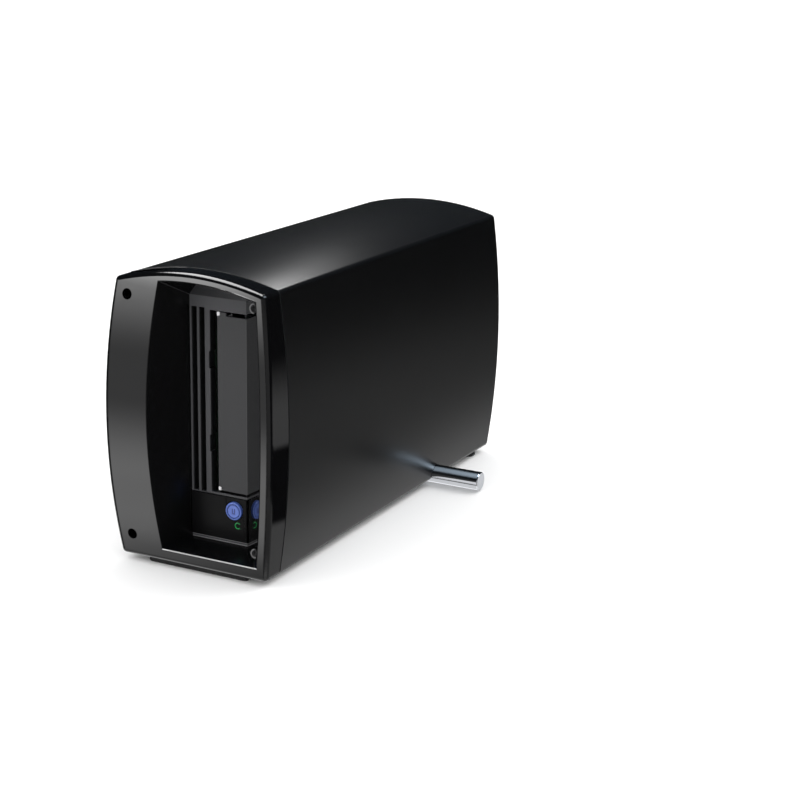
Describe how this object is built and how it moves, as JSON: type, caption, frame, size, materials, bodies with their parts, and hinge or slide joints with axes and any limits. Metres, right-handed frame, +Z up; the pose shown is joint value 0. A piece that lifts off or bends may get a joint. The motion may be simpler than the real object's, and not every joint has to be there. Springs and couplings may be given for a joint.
{
  "type": "data tape drive",
  "caption": "Desktop half-height tape drive standing on its edge: glossy funnel bezel round a hinged cartridge door, barrel-shaped sleeve, cross rod, rear fan and mains inlet.",
  "frame": {"origin": "centre of the bounding box's bottom, on the surface that the feet stand on", "axes": "+X to the right seen from the front, +Y from the front to the back, +Z up"},
  "size_m": [0.17, 0.3116, 0.1798],
  "materials": {
    "shell": "fine satin black",
    "bezel": "polished black",
    "steel": "zinc plated",
    "rubber": "matte black",
    "chrome": "polished chrome",
    "clamp_plastic": "moulded black",
    "sheet_metal": "galvanised",
    "drive_metal": "satin",
    "face_plastic": "fine matte dark grey",
    "panel_plastic": "satin black",
    "light_pipe": "lit green",
    "circuit_board": "solder mask green",
    "button_plastic": "satin blue",
    "door_plastic": "fine matte dark grey",
    "white_plastic": "white",
    "motor_metal": "wound copper and steel",
    "clutch_metal": "satin",
    "reel_plastic": "light grey",
    "head_metal": "ground ceramic",
    "carrier_metal": "satin",
    "connector_plastic": "black",
    "supply_metal": "plain",
    "rear_metal": "black powder coat",
    "fan_plastic": "black",
    "inlet_plastic": "black",
    "contact_metal": "tinned",
    "rocker_plastic": "black",
    "port_metal": "nickel",
    "roller_metal": "polished"
  },
  "bodies": {
    "enclosure": {"outer_shell": "shell", "front_bezel": "bezel", "bezel_screws": "steel", "front_foot": "rubber", "rear_feet": "rubber", "stabilizer_rod": "chrome", "rod_clamps": "clamp_plastic", "rod_clamp_screws": "steel", "inner_chassis": "sheet_metal", "drive_screws": "steel", "drive_base": "drive_metal", "drive_cover": "drive_metal", "drive_faceplate": "face_plastic", "control_panel": "panel_plastic", "status_light": "light_pipe", "control_board": "circuit_board", "door_pin": "steel", "door_spring": "steel", "deck_plate": "sheet_metal", "clutch_motor": "motor_metal", "takeup_motor": "motor_metal", "roller_posts": "steel", "head_guides": "steel", "drive_board": "circuit_board", "drive_connectors": "connector_plastic", "supply_board": "circuit_board", "supply_parts": "supply_metal", "rear_panel": "rear_metal", "rear_panel_screws": "steel", "fan_frame": "fan_plastic", "fan_screws": "steel", "power_inlet": "inlet_plastic", "inlet_pins": "contact_metal", "inlet_screws": "steel", "switch_frame": "inlet_plastic", "interface_board": "circuit_board", "board_brackets": "sheet_metal", "data_ports": "port_metal"},
    "door": {"cartridge_door": "door_plastic", "door_bushes": "white_plastic"},
    "eject_key": {"eject_button": "button_plastic"},
    "carrier": {"cartridge_carrier": "carrier_metal"},
    "clutch": {"reel_clutch": "clutch_metal"},
    "takeup": {"takeup_reel": "reel_plastic"},
    "head": {"tape_head": "head_metal"},
    "fan": {"fan_rotor": "fan_plastic"},
    "rocker": {"power_rocker": "rocker_plastic"},
    "roller_1": {"guide_roller_1": "roller_metal"},
    "roller_2": {"guide_roller_2": "roller_metal"},
    "roller_3": {"guide_roller_3": "roller_metal"},
    "roller_4": {"guide_roller_4": "roller_metal"}
  },
  "joints": [
    {"name": "door_swing", "type": "hinge", "parent": "enclosure", "child": "door", "pos_m": [0.0232, -0.12675, 0.0996], "axis": [0, 0, -1], "range_deg": [0, 88], "stiffness_Nm_per_rad": 0.003, "springref_deg": -17.19},
    {"name": "eject_press", "type": "slide", "parent": "enclosure", "child": "eject_key", "axis": [0, 1, 0], "range_m": [0, 0.0012], "stiffness_N_per_m": 500, "springref_m": -0.001},
    {"name": "carrier_slide", "type": "slide", "parent": "enclosure", "child": "carrier", "axis": [0, 1, 0], "range_m": [0, 0.016]},
    {"name": "clutch_spin", "type": "hinge", "parent": "enclosure", "child": "clutch", "pos_m": [-0.0048, -0.06155, 0.0996], "axis": [1, 0, 0], "continuous": true},
    {"name": "takeup_spin", "type": "hinge", "parent": "enclosure", "child": "takeup", "pos_m": [-0.0048, 0.02945, 0.0884], "axis": [1, 0, 0], "continuous": true},
    {"name": "head_shift", "type": "slide", "parent": "enclosure", "child": "head", "axis": [1, 0, 0], "range_m": [-0.002, 0.002]},
    {"name": "fan_spin", "type": "hinge", "parent": "enclosure", "child": "fan", "pos_m": [0, 0.13675, 0.122], "axis": [0, 1, 0], "continuous": true},
    {"name": "rocker_tilt", "type": "hinge", "parent": "enclosure", "child": "rocker", "pos_m": [-0.038, 0.14785, 0.029], "axis": [-1, 0, 0], "range_deg": [0, 18]},
    {"name": "roller_1_spin", "type": "hinge", "parent": "enclosure", "child": "roller_1", "pos_m": [-0.0048, -0.00255, 0.049], "axis": [1, 0, 0], "continuous": true},
    {"name": "roller_2_spin", "type": "hinge", "parent": "enclosure", "child": "roller_2", "pos_m": [-0.0048, -0.00555, 0.028], "axis": [1, 0, 0], "continuous": true},
    {"name": "roller_3_spin", "type": "hinge", "parent": "enclosure", "child": "roller_3", "pos_m": [-0.0048, 0.02245, 0.026], "axis": [1, 0, 0], "continuous": true},
    {"name": "roller_4_spin", "type": "hinge", "parent": "enclosure", "child": "roller_4", "pos_m": [-0.0048, 0.04745, 0.032], "axis": [1, 0, 0], "continuous": true}
  ]
}
